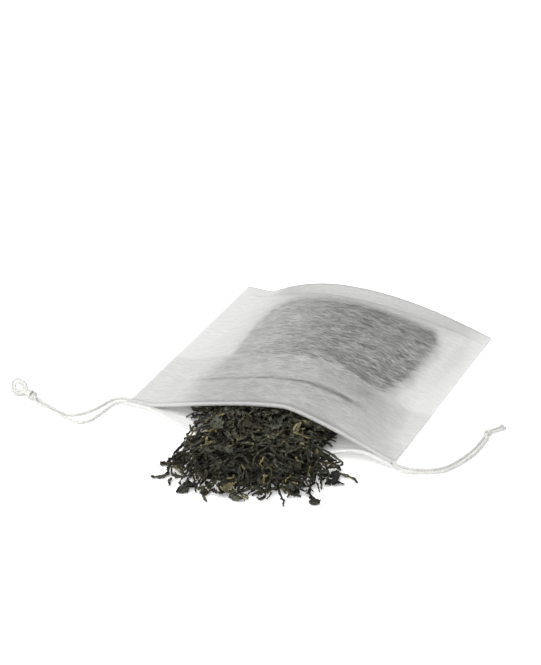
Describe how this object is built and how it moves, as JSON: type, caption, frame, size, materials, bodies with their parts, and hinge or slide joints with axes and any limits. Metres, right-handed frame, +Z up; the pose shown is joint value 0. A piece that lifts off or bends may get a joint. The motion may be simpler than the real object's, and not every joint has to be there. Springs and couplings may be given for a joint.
{
  "type": "tea bag",
  "caption": "Fillable drawstring tea bag of white filter paper lying flat, full of loose leaf tea that spills in a heap from its open mouth.",
  "frame": {"origin": "middle of the bag, on the flat underside of its lower sheet, at table height", "axes": "+Z up from the table, the bag's open mouth faces -Y, +X to the right seen from the mouth"},
  "size_m": [0.1669, 0.1429, 0.0143],
  "materials": {
    "filter_paper": "translucent nonwoven filter paper",
    "dried_tea": "dry rolled tea leaves, dark olive green",
    "cotton_string": "undyed twisted cotton"
  },
  "bodies": {
    "root": {"filter_bag": "filter_paper", "tea_in_bag": "dried_tea", "tea_heap": "dried_tea", "tea_leaf_01": "dried_tea", "tea_leaf_02": "dried_tea", "tea_leaf_03": "dried_tea", "tea_leaf_04": "dried_tea", "tea_leaf_05": "dried_tea", "tea_leaf_06": "dried_tea", "tea_leaf_07": "dried_tea", "tea_leaf_08": "dried_tea", "tea_leaf_09": "dried_tea", "tea_leaf_10": "dried_tea", "tea_leaf_11": "dried_tea", "tea_leaf_12": "dried_tea", "tea_leaf_13": "dried_tea", "tea_leaf_14": "dried_tea", "tea_leaf_15": "dried_tea", "tea_leaf_16": "dried_tea", "tea_leaf_17": "dried_tea", "tea_leaf_18": "dried_tea", "tea_leaf_19": "dried_tea", "tea_leaf_20": "dried_tea", "tea_leaf_21": "dried_tea", "tea_leaf_22": "dried_tea", "tea_leaf_23": "dried_tea", "tea_leaf_24": "dried_tea", "tea_leaf_25": "dried_tea", "tea_leaf_26": "dried_tea", "tea_leaf_27": "dried_tea", "tea_leaf_28": "dried_tea", "tea_leaf_29": "dried_tea", "tea_leaf_30": "dried_tea", "tea_leaf_31": "dried_tea", "tea_leaf_32": "dried_tea", "tea_leaf_33": "dried_tea", "tea_leaf_34": "dried_tea", "tea_leaf_35": "dried_tea", "tea_leaf_36": "dried_tea", "tea_leaf_37": "dried_tea", "tea_leaf_38": "dried_tea", "tea_leaf_39": "dried_tea", "tea_leaf_40": "dried_tea", "tea_leaf_41": "dried_tea", "tea_leaf_42": "dried_tea", "tea_leaf_43": "dried_tea", "tea_leaf_44": "dried_tea", "tea_leaf_45": "dried_tea", "tea_leaf_46": "dried_tea", "drawstring_upper": "cotton_string", "drawstring_lower": "cotton_string", "loop_knot": "cotton_string", "tail_knot": "cotton_string"}
  },
  "joints": []
}
